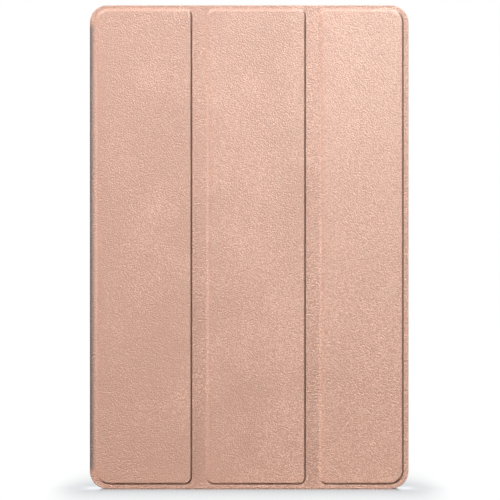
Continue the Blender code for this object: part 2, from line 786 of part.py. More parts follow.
board_low = inner_top - BOARD_ZONE_END
board_high = inner_top - TOP_ZONE
board_left = inner_left + SIDE_CHANNEL
board_right = board_left + MAIN_BOARD_WIDTH
board_back = works_front + BOARD_THICKNESS
chip_front = board_back + GAP
chip_back = chip_front + CHIP_THICKNESS
add_piece(
    "main_board",
    block((board_left, works_front, board_low), (board_right, board_back, board_high)),
    "circuit",
)
chip_z = (board_low + board_high) / 2
processor_x = board_left + PROCESSOR_FROM_LEFT
processor_half = PROCESSOR_SIZE / 2
add_piece(
    "processor",
    block(
        (processor_x - processor_half, chip_front, chip_z - processor_half),
        (processor_x + processor_half, chip_back, chip_z + processor_half),
    ),
    "black_plastic",
)
memory_x = processor_x + CHIP_SPACING
add_piece(
    "memory_chip",
    block(
        (memory_x - MEMORY_WIDTH / 2, chip_front, chip_z - MEMORY_LENGTH / 2),
        (memory_x + MEMORY_WIDTH / 2, chip_back, chip_z + MEMORY_LENGTH / 2),
    ),
    "black_plastic",
)
shield_reach = processor_half + SHIELD_MARGIN
shield_low = Vector((processor_x - shield_reach, chip_front, chip_z - shield_reach))
shield_high = Vector((memory_x + MEMORY_WIDTH / 2 + SHIELD_MARGIN, works_back, chip_z + shield_reach))
shield = add_piece("shield_can", block(shield_low, shield_high), "steel")
shield_hollow = block(shield_low + Vector((GAP, -GAP, GAP)), shield_high - Vector((GAP, GAP, GAP)))
cut(shield, shield_hollow, "hollow")

lower_board_bottom = tablet_bottom + PORT_LENGTH + 2 * GAP
add_piece(
    "lower_board",
    block(
        (tablet_middle - LOWER_BOARD_WIDTH / 2, works_front, lower_board_bottom),
        (tablet_middle + LOWER_BOARD_WIDTH / 2, board_back, inner_bottom + BATTERY_BOTTOM - 2 * GAP),
    ),
    "circuit",
)
add_piece(
    "main_flex",
    block(
        (tablet_middle - FLEX_WIDTH / 2, works_back - FLEX_THICKNESS, inner_bottom + BATTERY_BOTTOM / 2),
        (tablet_middle + FLEX_WIDTH / 2, works_back, board_low + FLEX_OVERLAP),
    ),
    "flex",
)


def make_port():
    """Socket shell along Z, closed at its inner end, with the contact tongue in it."""
    outline = pill_outline(port_middle, PORT_WIDTH, PORT_HEIGHT)
    port = add_piece(
        "usb_port",
        column(outline, tablet_bottom, tablet_bottom + PORT_LENGTH),
        "steel",
        smooth=True,
    )
    mouth = pill_outline(port_middle, PORT_WIDTH - 2 * PORT_WALL, PORT_HEIGHT - 2 * PORT_WALL)
    inner_end = tablet_bottom + PORT_LENGTH - 2 * PORT_WALL
    cut(port, column(mouth, tablet_bottom - THROUGH, inner_end), "mouth")
    tongue_x = PORT_WIDTH / 2 - PORT_HEIGHT / 2 + PORT_WALL
    join(
        port,
        block(
            (port_middle[0] - tongue_x, port_middle[1] - PORT_TONGUE / 2, tablet_bottom + PORT_WALL),
            (port_middle[0] + tongue_x, port_middle[1] + PORT_TONGUE / 2, inner_end + PORT_WALL / 2),
        ),
        "tongue",
    )


make_port()

for side, left in (
    ("left", inner_left + SPEAKER_FROM_SIDE),
    ("right", inner_right - SPEAKER_FROM_SIDE - SPEAKER_LENGTH),
):
    low_z = inner_bottom + 2 * GAP
    high_z = inner_top - 2 * GAP
    right = left + SPEAKER_LENGTH
    lower = block((left, works_front, low_z), (right, works_back, low_z + SPEAKER_WIDTH))
    upper = block((left, works_front, high_z - SPEAKER_WIDTH), (right, works_back, high_z))
    add_piece(f"speaker_lower_{side}", lower, "black_plastic")
    add_piece(f"speaker_upper_{side}", upper, "black_plastic")

for side, start in (
    ("left", tablet_middle - ANTENNA_FROM_MIDDLE - ANTENNA_LENGTH),
    ("right", tablet_middle + ANTENNA_FROM_MIDDLE),
):
    add_piece(
        f"wifi_antenna_{side}",
        block(
            (start, works_back - FLEX_THICKNESS, inner_top - ANTENNA_WIDTH),
            (start + ANTENNA_LENGTH, works_back, inner_top - GAP),
        ),
        "flex",
    )
microphone_x = tablet_middle - MICROPHONE_FROM_MIDDLE
microphone_back = works_front + MICROPHONE_THICKNESS
add_piece(
    "microphone",
    block(
        (microphone_x - MICROPHONE_WIDTH / 2, works_front, inner_bottom + GAP),
        (microphone_x + MICROPHONE_WIDTH / 2, microphone_back, inner_bottom + MICROPHONE_LENGTH),
    ),
    "steel",
)
sensor_z = cover_top - MAGNET_FROM_END
sensor_x = board_right - SENSOR_FROM_EDGE
sensor_half = SENSOR_SIZE / 2
add_piece(
    "magnet_sensor",
    block(
        (sensor_x - sensor_half, chip_front, sensor_z - sensor_half),
        (sensor_x + sensor_half, chip_back, sensor_z + sensor_half),
    ),
    "black_plastic",
)

# Cameras ------------------------------------------------------------------------------------------

ring_back = tablet_back + CAMERA_RING_PROUD
lens_radius = CAMERA_RING_RADIUS - CAMERA_RING_WALL - GAP
lens_back = ring_back - GAP
lens_front = lens_back - LENS_THICKNESS


def make_cameras():
    ring = plate(
        circle((camera_x, camera_z), CAMERA_RING_RADIUS, 16),
        housing_floor,
        ring_back,
        [circle((camera_x, camera_z), CAMERA_RING_RADIUS - CAMERA_RING_WALL, 16)],
    )
    add_piece("camera_ring", ring, "aluminium", smooth=True)
    lens_middle = (camera_x, (lens_front + lens_back) / 2, camera_z)
    add_piece("camera_lens", disc(lens_middle, lens_radius, lens_back - lens_front), "glass", smooth=True)
    half = CAMERA_RING_RADIUS - CAMERA_RING_WALL / 2
    module_back = housing_floor - 2 * GAP
    module = add_piece(
        "rear_camera",
        block(
            (camera_x - half, works_front, camera_z - half),
            (camera_x + half, module_back, camera_z + half),
        ),
        "black_plastic",
    )
    barrel_back = lens_front - GAP
    barrel_middle = (camera_x, (module_back - GAP + barrel_back) / 2, camera_z)
    join(module, disc(barrel_middle, lens_radius - GAP, barrel_back - module_back + GAP, 20), "barrel")
    flash_front = housing_floor - 2 * GAP
    flash_middle = (camera_x, (flash_front + tablet_back) / 2, flash_z)
    flash = disc(flash_middle, FLASH_RADIUS, tablet_back - flash_front, 16)
    add_piece("flash_lens", flash, "clear", smooth=True)
    add_piece(
        "front_camera",
        block(
            (front_camera_x - front_camera_half, display_front, tablet_half - front_camera_half),
            (front_camera_x + front_camera_half, works_back, tablet_half + front_camera_half),
        ),
        "black_plastic",
    )


make_cameras()

# Keys and card tray -------------------------------------------------------------------------------

switch_right = inner_right - GAP - KEY_FLANGE - GAP - KEY_TRAVEL
switch_left = switch_right - SWITCH_DEPTH


def make_key(name, middle, length):
    """Key cap in its slot, with a wider flange inside that keeps it from falling out."""
    cap = side_bar(key_slot(middle, length, 0.0), inner_right - 2 * GAP, tablet_right + KEY_PROUD)
    key = add_piece(name, cap, "aluminium", name, smooth=True)
    reach = length / 2 + 2 * GAP
    join(
        key,
        block(
            (inner_right - GAP - KEY_FLANGE, works_front + GAP / 3, middle - reach),
            (inner_right - GAP, works_back - GAP / 3, middle + reach),
        ),
        "flange",
    )


def make_switch(name, middle):
    add_piece(
        name,
        block(
            (switch_left, key_middle - SWITCH_HEIGHT / 2, middle - SWITCH_LENGTH / 2),
            (switch_right, key_middle + SWITCH_HEIGHT / 2, middle + SWITCH_LENGTH / 2),
        ),
        "steel",
    )


make_key("power_button", power_z, POWER_LENGTH)
make_key("volume_rocker", volume_z, VOLUME_LENGTH)
make_switch("power_switch", power_z)
make_switch("volume_switch_up", volume_z + VOLUME_LENGTH / 3)
make_switch("volume_switch_down", volume_z - VOLUME_LENGTH / 3)

card_face = pill_outline((card_z, key_middle), CARD_LENGTH, CARD_FACE_HEIGHT)
card_tray = add_piece(
    "card_tray", side_bar(card_face, inner_right, tablet_right), "aluminium", "card_tray", smooth=True
)
tongue_half = CARD_LENGTH / 2 - 2 * GAP
tongue_left = tablet_right - CARD_TONGUE
join(
    card_tray,
    block(
        (tongue_left, key_middle - CARD_TONGUE_HEIGHT / 2, card_z - tongue_half),
        (inner_right + GAP, key_middle + CARD_TONGUE_HEIGHT / 2, card_z + tongue_half),
    ),
    "tongue",
)
well_half = tongue_half - CARD_WELL_RIM
cut(
    card_tray,
    block(
        (tongue_left + CARD_WELL_RIM, key_middle - THROUGH / 2, card_z - well_half),
        (inner_right - CARD_WELL_FROM_FACE, key_middle + THROUGH / 2, card_z + well_half),
    ),
    "card_well",
)
reader_back = key_middle - CARD_TONGUE_HEIGHT / 2 - GAP
add_piece(
    "card_reader",
    block(
        (tongue_left, works_front, card_z - CARD_LENGTH / 2),
        (inner_right - 2 * GAP, reader_back, card_z + CARD_LENGTH / 2),
    ),
    "steel",
)
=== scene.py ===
"""A three-panel folio case, closed over a tablet computer and standing on its lower short edge."""

import json
import math

import bmesh
import bpy
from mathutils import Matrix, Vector

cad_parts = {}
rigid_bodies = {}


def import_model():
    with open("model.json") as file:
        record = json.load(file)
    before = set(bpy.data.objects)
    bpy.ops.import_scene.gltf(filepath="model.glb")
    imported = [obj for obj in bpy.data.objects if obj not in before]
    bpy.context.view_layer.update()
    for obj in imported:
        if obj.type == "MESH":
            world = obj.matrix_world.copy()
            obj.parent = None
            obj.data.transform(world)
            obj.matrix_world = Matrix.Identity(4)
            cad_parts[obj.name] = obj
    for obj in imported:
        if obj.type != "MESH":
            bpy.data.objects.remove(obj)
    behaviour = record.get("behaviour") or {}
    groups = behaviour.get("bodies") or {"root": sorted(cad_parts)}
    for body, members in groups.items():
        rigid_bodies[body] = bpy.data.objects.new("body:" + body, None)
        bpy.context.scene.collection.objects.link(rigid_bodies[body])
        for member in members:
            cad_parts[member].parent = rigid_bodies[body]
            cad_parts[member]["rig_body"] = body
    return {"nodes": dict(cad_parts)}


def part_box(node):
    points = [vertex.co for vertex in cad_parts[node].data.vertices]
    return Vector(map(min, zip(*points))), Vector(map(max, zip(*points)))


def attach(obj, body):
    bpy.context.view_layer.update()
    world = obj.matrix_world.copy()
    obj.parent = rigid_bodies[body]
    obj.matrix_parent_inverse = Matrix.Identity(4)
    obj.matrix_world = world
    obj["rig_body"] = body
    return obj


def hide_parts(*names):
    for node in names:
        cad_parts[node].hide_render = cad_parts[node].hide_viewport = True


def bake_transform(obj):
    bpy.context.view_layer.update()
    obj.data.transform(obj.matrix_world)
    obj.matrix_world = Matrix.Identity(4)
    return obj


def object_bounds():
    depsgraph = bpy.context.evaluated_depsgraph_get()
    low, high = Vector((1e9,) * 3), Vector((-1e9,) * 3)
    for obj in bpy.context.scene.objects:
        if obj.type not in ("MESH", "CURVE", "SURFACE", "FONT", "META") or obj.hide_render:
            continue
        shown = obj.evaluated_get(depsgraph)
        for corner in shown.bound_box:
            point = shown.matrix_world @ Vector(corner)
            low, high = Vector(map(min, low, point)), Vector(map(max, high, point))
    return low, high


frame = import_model()
size_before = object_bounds()

# Stage. The case stands on a glossy white sheet in a white room. A soft key lamp hangs high on the left,
# and a weak fill stands low on the right. The sheen, side and rim lamps show only as highlights on the
# cover, and the last two light the back and the free side.
LENS = 200.0
FILM = 36.0
VIEW_WIDTH = 0.2663
VIEW_X = 0.0005
VIEW_Z = 0.1273
SHEET_REACH = 3.0
CONTACT_GLOSS = 0.80
GLOSS_REACH = 0.006
SHADE_REACH = 0.055
SHADE_OVERLAP = 0.002
SHADE_FADE = 0.026
SHEET_WHITE = (1.0, 1.0, 1.0)
SHEET_SHADE = (0.58, 0.60, 0.62)
SHEET_MIRROR = (0.96, 0.98, 1.0)
SHEET_GLOW = 1.02
ROOM_DIM = 0.11

cover_low, cover_high = size_before

lens = bpy.data.cameras.new("camera")
lens.lens = LENS
lens.sensor_width = FILM
lens.clip_start = 0.05
lens.clip_end = 20.0
camera = bpy.data.objects.new("camera", lens)
bpy.context.scene.collection.objects.link(camera)
camera.location = (VIEW_X, cover_low.y - VIEW_WIDTH * LENS / FILM, VIEW_Z)
camera.rotation_euler = (math.radians(90), 0, 0)
bpy.context.scene.camera = camera
bpy.context.scene.view_settings.view_transform = "Standard"


class Amount:
    """A number in a material that sums can be written with."""

    def __init__(self, finish, socket):
        self.finish = finish
        self.socket = socket

    def by(self, operation, *others):
        """The result of a Math node whose first value is this one."""
        values = dict(enumerate((self, *others)))
        made = self.finish.node("ShaderNodeMath", {"operation": operation}, values)
        return Amount(self.finish, made.outputs[0])

    def swapped(self, operation, other):
        """The result of a Math node whose second value is this one."""
        made = self.finish.node("ShaderNodeMath", {"operation": operation}, {0: other, 1: self})
        return Amount(self.finish, made.outputs[0])

    def __add__(self, other):
        return self.by("ADD", other)

    def __radd__(self, other):
        return self.swapped("ADD", other)

    def __sub__(self, other):
        return self.by("SUBTRACT", other)

    def __rsub__(self, other):
        return self.swapped("SUBTRACT", other)

    def __mul__(self, other):
        return self.by("MULTIPLY", other)

    def __rmul__(self, other):
        return self.swapped("MULTIPLY", other)

    def __pow__(self, other):
        return self.by("POWER", other)

    def step(self, low, high):
        """0 below low, 1 above high and smooth between."""
        made = self.finish.node(
            "ShaderNodeMapRange",
            {"interpolation_type": "SMOOTHSTEP"},
            {"Value": self, "From Min": low, "From Max": high},
        )
        return Amount(self.finish, made.outputs["Result"])


class Finish:
    """A material made of nodes, with its coordinates ready."""

    def __init__(self, name, shader="ShaderNodeBsdfPrincipled", **values):
        self.material = bpy.data.materials.new(name)
        self.material.use_nodes = True
        self.tree = self.material.node_tree
        self.tree.nodes.clear()
        self.shader = self.node(shader)
        self.node("ShaderNodeOutputMaterial", {}, {"Surface": self.shader.outputs[0]})
        self.place = self.node("ShaderNodeTexCoord").outputs["Object"]
        self.set(values)

    def set(self, values):
        """Feeds the shader's sockets. A name may have underscores for its spaces."""
        for name, value in values.items():
            self.feed(self.shader.inputs[name.replace("_", " ")], value)

    def node(self, kind, settings=None, sockets=None):
        """A node of one type, with its settings and then the values or links of its sockets."""
        made = self.tree.nodes.new(kind)
        for name, value in (settings or {}).items():
            setattr(made, name, value)
        for name, value in (sockets or {}).items():
            self.feed(made.inputs[name], value)
        return made

    def feed(self, socket, value):
        if isinstance(value, Amount):
            value = value.socket
        if isinstance(value, bpy.types.NodeSocket):
            self.tree.links.new(value, socket)
        elif socket.type == "RGBA" and len(value) == 3:
            socket.default_value = (*value, 1.0)
        else:
            socket.default_value = value

    def axes(self):
        """The piece's own X, Y and Z."""
        made = self.node("ShaderNodeSeparateXYZ", {}, {0: self.place})
        return [Amount(self, made.outputs[n]) for n in range(3)]

    def stretched(self, turn, scale):
        """Coordinates along which a pattern is drawn out."""
        made = self.node(
            "ShaderNodeMapping",
            {"vector_type": "TEXTURE"},
            {"Vector": self.place, "Rotation": turn, "Scale": scale},
        )
        return made.outputs[0]

    def noise(self, scale, detail=2.0, roughness=0.5, place=None, distortion=0.0):
        made = self.node(
            "ShaderNodeTexNoise",
            {},
            {
                "Vector": place or self.place,
                "Scale": scale,
                "Detail": detail,
                "Roughness": roughness,
                "Distortion": distortion,
            },
        )
        return Amount(self, made.outputs[0])

    def cells(self, scale, place=None):
        """Distance from the nearest of scattered points."""
        sockets = {"Vector": place or self.place, "Scale": scale}
        made = self.node("ShaderNodeTexVoronoi", {"feature": "F1"}, sockets)
        return Amount(self, made.outputs["Distance"])

    def colours(self, amount, first, second):
        """The first colour where the amount is 0 and the second where it is 1."""
        made = self.node("ShaderNodeMix", {"data_type": "RGBA"}, {0: amount, 6: first, 7: second})
        return made.outputs[2]

    def bump(self, height, distance):
        """Makes the surface look raised by the height times a distance in metres."""
        made = self.node("ShaderNodeBump", {}, {"Height": height, "Distance": distance, "Strength": 1.0})
        self.set({"Normal": made.outputs[0]})


sheet = Finish("white_sheet", "ShaderNodeMixShader")
across, depth, _ = sheet.axes()
aside = across.by("ABSOLUTE") - cover_high.x
ahead = depth.by("ABSOLUTE") - cover_high.y
away = aside.by("MAXIMUM", ahead).by("MAXIMUM", 0.0)
gloss = CONTACT_GLOSS * (away * (-1 / GLOSS_REACH)).by("EXPONENT")
faded = aside.step(-SHADE_OVERLAP, SHADE_FADE)
shade = (ahead.by("MAXIMUM", 0.0) * (-1 / SHADE_REACH)).by("EXPONENT") * (1 - faded)
sheet.set({"Fac": gloss})
glow = sheet.node(
    "ShaderNodeEmission",
    {},
    {"Color": sheet.colours(shade, SHEET_WHITE, SHEET_SHADE), "Strength": SHEET_GLOW},
)
mirror = sheet.node("ShaderNodeBsdfGlossy", {}, {"Color": SHEET_MIRROR, "Roughness": 0.12})
sheet.tree.links.new(glow.outputs[0], sheet.shader.inputs[1])
sheet.tree.links.new(mirror.outputs[0], sheet.shader.inputs[2])
floor_mesh = bpy.data.meshes.new("floor")
floor_corners = [(x * SHEET_REACH, y * SHEET_REACH, 0) for x, y in ((-1, -1), (1, -1), (1, 1), (-1, 1))]
floor_mesh.from_pydata(floor_corners, [], [(0, 1, 2, 3)])
floor = bpy.data.objects.new("floor", floor_mesh)
floor_mesh.materials.append(sheet.material)
bpy.context.scene.collection.objects.link(floor)
floor.visible_diffuse = False

world = bpy.data.worlds.new("room")
bpy.context.scene.world = world
world.use_nodes = True
room = world.node_tree
room.nodes.clear()
seen = room.nodes.new("ShaderNodeLightPath")
white = room.nodes.new("ShaderNodeBackground")
white.inputs["Color"].default_value = (1.0, 1.0, 1.0, 1.0)
white.inputs["Strength"].default_value = 1.0
dim = room.nodes.new("ShaderNodeBackground")
dim.inputs["Color"].default_value = (1.0, 0.98, 0.97, 1.0)
dim.inputs["Strength"].default_value = ROOM_DIM
either = room.nodes.new("ShaderNodeMixShader")
sky = room.nodes.new("ShaderNodeOutputWorld")
bright = room.nodes.new("ShaderNodeMath")
bright.operation = "MAXIMUM"
room.links.new(seen.outputs["Is Camera Ray"], bright.inputs[0])
room.links.new(seen.outputs["Is Glossy Ray"], bright.inputs[1])
room.links.new(bright.outputs[0], either.inputs[0])
room.links.new(dim.outputs[0], either.inputs[1])
room.links.new(white.outputs[0], either.inputs[2])
room.links.new(either.outputs[0], sky.inputs["Surface"])


def lamp(name, place, width, power, diffuse=True, glossy=True):
    """A square soft lamp, its place in metres and its power in watts, that faces the middle of the case."""
    light = bpy.data.lights.new(name, "AREA")
    light.shape = "SQUARE"
    light.size = width
    light.energy = power
    made = bpy.data.objects.new(name, light)
    made.location = place
    aim = Vector((0.0, 0.0, VIEW_Z)) - Vector(place)
    made.rotation_euler = aim.to_track_quat("-Z", "Y").to_euler()
    made.visible_diffuse = diffuse
    made.visible_glossy = glossy
    made.visible_camera = False
    bpy.context.scene.collection.objects.link(made)


lamp("key", (-1.70, -1.97, 2.60), width=0.55, power=152.0)
lamp("fill", (1.00, -1.30, 0.15), width=0.80, power=4.6, glossy=False)
lamp("sheen", (0.30, -0.54, 0.62), width=0.36, power=68.0, diffuse=False)
lamp("side", (-1.15, -0.64, 0.20), width=0.50, power=36.0, diffuse=False)
lamp("rim", (-0.70, -0.45, 1.10), width=0.70, power=42.0, diffuse=False)
lamp("back", (-0.90, 2.00, 1.50), width=1.20, power=64.0, glossy=False)
lamp("free_side", (2.20, 0.35, 1.00), width=1.20, power=46.0, glossy=False)

# Cover skins. Each panel is a board under heat-pressed leatherette. The board stands up as a low pad, with
# a soft shoulder on its left and upper sides and a sharp groove on the others, darkened by a painted shadow.
# The skin lies flat round the pad and turns over the cover's outer edges.

# Steps up a pad's edge: inset and rise of the soft shoulder, inset and rise of the sharp line, and how far
# the painted shadow darkens the sharp line there.
PAD_PROFILE = (
    (-0.00078, 0.0, -0.00044, 0.0, 0.0),
    (-0.00064, 0.00001, -0.00038, 0.0, 0.2),
    (-0.00050, 0.00006, -0.00032, -0.00006, 0.8),
    (-0.00034, 0.00014, -0.00024, -0.00020, 1.0),
    (-0.00018, 0.00023, -0.00014, -0.00032, 1.0),
    (0.00000, 0.00032, 0.00000, -0.00036, 1.0),
    (0.00018, 0.00042, 0.00014, -0.00020, 1.0),
    (0.00036, 0.00052, 0.00028, 0.00014, 1.0),
    (0.00052, 0.00060, 0.00042, 0.00042, 0.7),
    (0.00066, 0.00067, 0.00058, 0.00060, 0.2),
    (0.00080, 0.00072, 0.00074, 0.00071, 0.0),
    (0.00096, 0.00076, 0.00092, 0.00077, 0.0),
    (0.00112, 0.00079, 0.00112, 0.00080, 0.0),
    (0.00128, 0.00080, 0.00128, 0.00080, 0.0),
)
PAD_OUTER_CORNERS = (0.0074, 0.0072)
PAD_FOLD_CORNER = 0.0037
PAD_SPREAD = 0.0004
PAD_LEFT_SPREAD = -0.0001
PAD_FREE_SPREAD = 0.0006
GAP = 0.0003
FOLD_HEM = 0.00028
LOWER_HEM = 0.00025
EDGE_LAP = 0.00012
EDGE_BREAK = 0.0002
EDGE_RADIUS = 0.00028
EDGE_STEPS = 5
CORNER = 0.0095
CORNER_STEPS = 14
PAD_CORNER_STEPS = 12
TURNED_DEPTH = 0.0017
SKIN = 0.0006
WRAP_JOIN = 0.0025

base_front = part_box("fold_strip_1")[0].y
pad_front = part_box("panel_1_skin")[0].y
lining_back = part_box("panel_1_lining")[1].y
left_edge = cover_low.x
right_edge = cover_high.x
low_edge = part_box("panel_2_skin")[0].z - LOWER_HEM
high_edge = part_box("panel_2_skin")[1].z
wrap_x = left_edge + WRAP_JOIN


def rounded(left, right, low, high, radii, steps):
    """A rectangle in X and Z. Its radii are lower left, lower right, upper right and upper left."""
    centres = (
        (left + radii[0], low + radii[0], 180),
        (right - radii[1], low + radii[1], 270),
        (right - radii[2], high - radii[2], 0),
        (left + radii[3], high - radii[3], 90),
    )
    points = []
    for (x, z, start), radius in zip(centres, radii):
        for step in range(steps + 1):
            angle = math.radians(start + 90 * step / steps)
            points.append((x + radius * math.cos(angle), z + radius * math.sin(angle)))
    return points


def cover_outline(left, right, inset, low=low_edge, high=high_edge):
    """The cover's outline between two X values, drawn in by the inset along its outer edges only."""
    low += inset
    high -= inset
    radius = CORNER - inset
    near_left = left_edge + CORNER
    near_right = right_edge - CORNER
    points = []
    if left < near_left:
        start = math.degrees(math.acos((near_left - max(left, left_edge + inset)) / radius))
        for step in range(CORNER_STEPS + 1):
            angle = math.radians(180 + start + (90 - start) * step / CORNER_STEPS)
            points.append((near_left + radius * math.cos(angle), low + radius + radius * math.sin(angle)))
    else:
        points.append((left, low))
    if right > near_right:
        for step in range(CORNER_STEPS + 1):
            angle = math.radians(270 + 90 * step / CORNER_STEPS)
            points.append((near_right + radius * math.cos(angle), low + radius + radius * math.sin(angle)))
    else:
        points.append((right, low))
    upper = [(x, low + high - z) for x, z in points]
    return points + upper[::-1]


def laid(outline, y):
    """An outline of (x, z) set upright at one depth."""
    return [(x, y, z) for x, z in outline]


def add_object(name, mesh, *finishes):
    made = bpy.data.objects.new(name, mesh)
    for finish in finishes:
        mesh.materials.append(finish.material)
    bpy.context.scene.collection.objects.link(made)
    return made


class Shell:
    """A closed surface put together from rings of points, each a list of points or a ring made before."""

    def __init__(self):
        self.shape = bmesh.new()
        # Weight of the painted shadow along the pads' grooves.
        self.painted_shadow = self.shape.verts.layers.float.new("painted_shadow")

    def ring(self, points):
        verts = [self.shape.verts.new(point) for point in points]
        edges = [self.shape.edges.new((a, b)) for a, b in zip(verts, verts[1:] + verts[:1])]
        return verts, edges

    def walls(self, rings, slot=0):
        """Joins each ring to the next."""
        made = [ring if isinstance(ring, tuple) else self.ring(ring) for ring in rings]
        for (lower, _), (upper, _) in zip(made, made[1:]):
            for n in range(len(lower)):
                after = (n + 1) % len(lower)
                face = self.shape.faces.new((lower[n], lower[after], upper[after], upper[n]))
                face.material_index = slot
                face.smooth = True
        return made

    def cap(self, ring):
        self.shape.faces.new(ring[0]).smooth = True

    def between(self, outer, inner):
        """Fills the flat surface between an outline and a smaller one in it."""
        made = bmesh.ops.triangle_fill(self.shape, use_beauty=True, edges=outer[1] + inner[1])
        for face in made["geom"]:
            if isinstance(face, bmesh.types.BMFace):
                face.smooth = True

    def mesh(self, name):
        bmesh.ops.recalc_face_normals(self.shape, faces=self.shape.faces)
        mesh = bpy.data.meshes.new(name)
        self.shape.to_mesh(mesh)
        self.shape.free()
        mesh.set_sharp_from_angle(angle=math.radians(46))
        return mesh


# The grain is a mix of round pebbles, fine dots and drawn-out ridges, each counted in grains per metre. The
# ridges show more towards the free side. All of it stands out more on the flat skin, low down and at the
# left.
PEBBLES = 1350.0
FINE_DOTS = 1850.0
RIDGES = 1600.0
PATCHES = 28.0
GRAIN_DEPTH = 0.00025
GRAIN_MIDDLE = 1.02
COMBED_FROM, COMBED_TO = -0.08, 0.06
WORKED_FROM, WORKED_TO = 0.03, 0.19
TURN_ENDS = (0.0080, 0.0125)
PALE_COAT = 0.055
ROSE_DARK = (0.53, 0.264, 0.174)
ROSE_LIGHT = (0.79, 0.450, 0.321)
# Colour of the painted shadow in the grooves on the pads' right and lower sides.
SHADOW_BROWN = (0.150, 0.070, 0.048)
# Colour of the painted shade on the spine's turn.
SPINE_SHADE = (0.095, 0.066, 0.057)

leatherette = Finish("leatherette", Roughness=0.57, IOR=1.46, Specular_IOR_Level=0.26, Coat_Roughness=0.26)
tilted = leatherette.stretched((0.6, 0.3, 0.4), (1.0, 1.0, 1.0))
drawn_out = leatherette.stretched((0.6, math.radians(38), 0), (1.8, 1.0, 1.0))
patches = leatherette.noise(PATCHES, 1.5)
pebble = 1 - leatherette.cells(PEBBLES, tilted)
fine = leatherette.noise(FINE_DOTS, 1.0, 0.5, tilted)
ridge = leatherette.noise(RIDGES, 1.0, 0.5, drawn_out, 0.4)
across, depth, height = leatherette.axes()
combed = (across + (patches - 0.5) * 0.25).step(COMBED_FROM, COMBED_TO)
flat_skin = depth.step(base_front - 0.0006, base_front - 0.0002)
worked = 1 - height.step(WORKED_FROM, WORKED_TO)
grain = 0.55 * pebble + 0.55 * fine + (0.45 + 0.30 * combed) * ridge - GRAIN_MIDDLE
grain = grain * (1 + 0.85 * flat_skin + 0.25 * worked + 0.40 * (1 - combed))
leatherette.bump(grain, GRAIN_DEPTH)
tone = (0.5 + (patches - 0.5) * 0.25 + grain * 1.7).by("MAXIMUM", 0.0).by("MINIMUM", 1.0)
plain = leatherette.colours(tone, ROSE_DARK, ROSE_LIGHT)
# Painted shadow: dark brown laid into the groove on the pads' right and lower sides, standing for shade.
painted = leatherette.node("ShaderNodeAttribute", {"attribute_name": "painted_shadow"})
shadowed_rose = leatherette.colours(0.80 * Amount(leatherette, painted.outputs["Fac"]), plain, SHADOW_BROWN)

# Painted shade darkens the turn of the spine along its length, where it rounds away, but not at its ends.
at_left = 1 - across.step(left_edge + 0.0004, left_edge + 0.0036)
at_face = depth.by("ABSOLUTE").step(0.0025, 0.0037)
off_ends = (height - low_edge).step(*TURN_ENDS) * (high_edge - height).step(*TURN_ENDS)
spine_shade = at_left * at_face * off_ends
leatherette.set(
    {
        "Base_Color": leatherette.colours(0.92 * spine_shade, shadowed_rose, SPINE_SHADE),
        "Coat_Weight": PALE_COAT * (1 - spine_shade),
    }
)

pads = {}
panel_sides = {}
for number in (1, 2, 3):
    low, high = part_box(f"panel_{number}_skin")
    board_low, board_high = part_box(f"panel_{number}_board")
    grown = SKIN + GAP
    pads[number] = (
        board_low.x - grown - PAD_LEFT_SPREAD,
        board_high.x + grown + (PAD_FREE_SPREAD if number == 3 else PAD_SPREAD),
        board_low.z - grown - PAD_SPREAD,
        board_high.z + grown + PAD_SPREAD,
    )
    panel_sides[number] = [low.x - FOLD_HEM, high.x + FOLD_HEM]
panel_sides[1][0] = wrap_x
panel_sides[3][1] = right_edge
lower_corner, upper_corner = PAD_OUTER_CORNERS
pad_corners = {
    1: (lower_corner, PAD_FOLD_CORNER, PAD_FOLD_CORNER, upper_corner),
    2: (PAD_FOLD_CORNER,) * 4,
    3: (PAD_FOLD_CORNER, lower_corner, upper_corner, PAD_FOLD_CORNER),
}


def pad_outline(number, inset):
    left, right, low, high = pads[number]
    radii = [radius - inset for radius in pad_corners[number]]
    return rounded(left + inset, right - inset, low + inset, high - inset, radii, PAD_CORNER_STEPS)


def sunk_share(n):
    """How far one point of a pad's outline takes the sharp line of its right and lower sides."""
    corner, step = divmod(n, PAD_CORNER_STEPS + 1)
    turn = math.radians(180 + 90 * corner + 90 * step / PAD_CORNER_STEPS)
    return min(max((math.cos(turn) - math.sin(turn) + 0.3) / 0.9, 0), 1)


def pad_ring(number, soft_inset, soft_rise, hard_inset, hard_rise):
    """One ring of the pad, with the soft shoulder of its left and upper sides blended into the line."""
    ring = []
    pair = zip(pad_outline(number, soft_inset), pad_outline(number, hard_inset))
    for n, (soft, hard) in enumerate(pair):
        share = sunk_share(n)
        x = soft[0] + (hard[0] - soft[0]) * share
        z = soft[1] + (hard[1] - soft[1]) * share
        ring.append((x, base_front - soft_rise - (hard_rise - soft_rise) * share, z))
    return ring


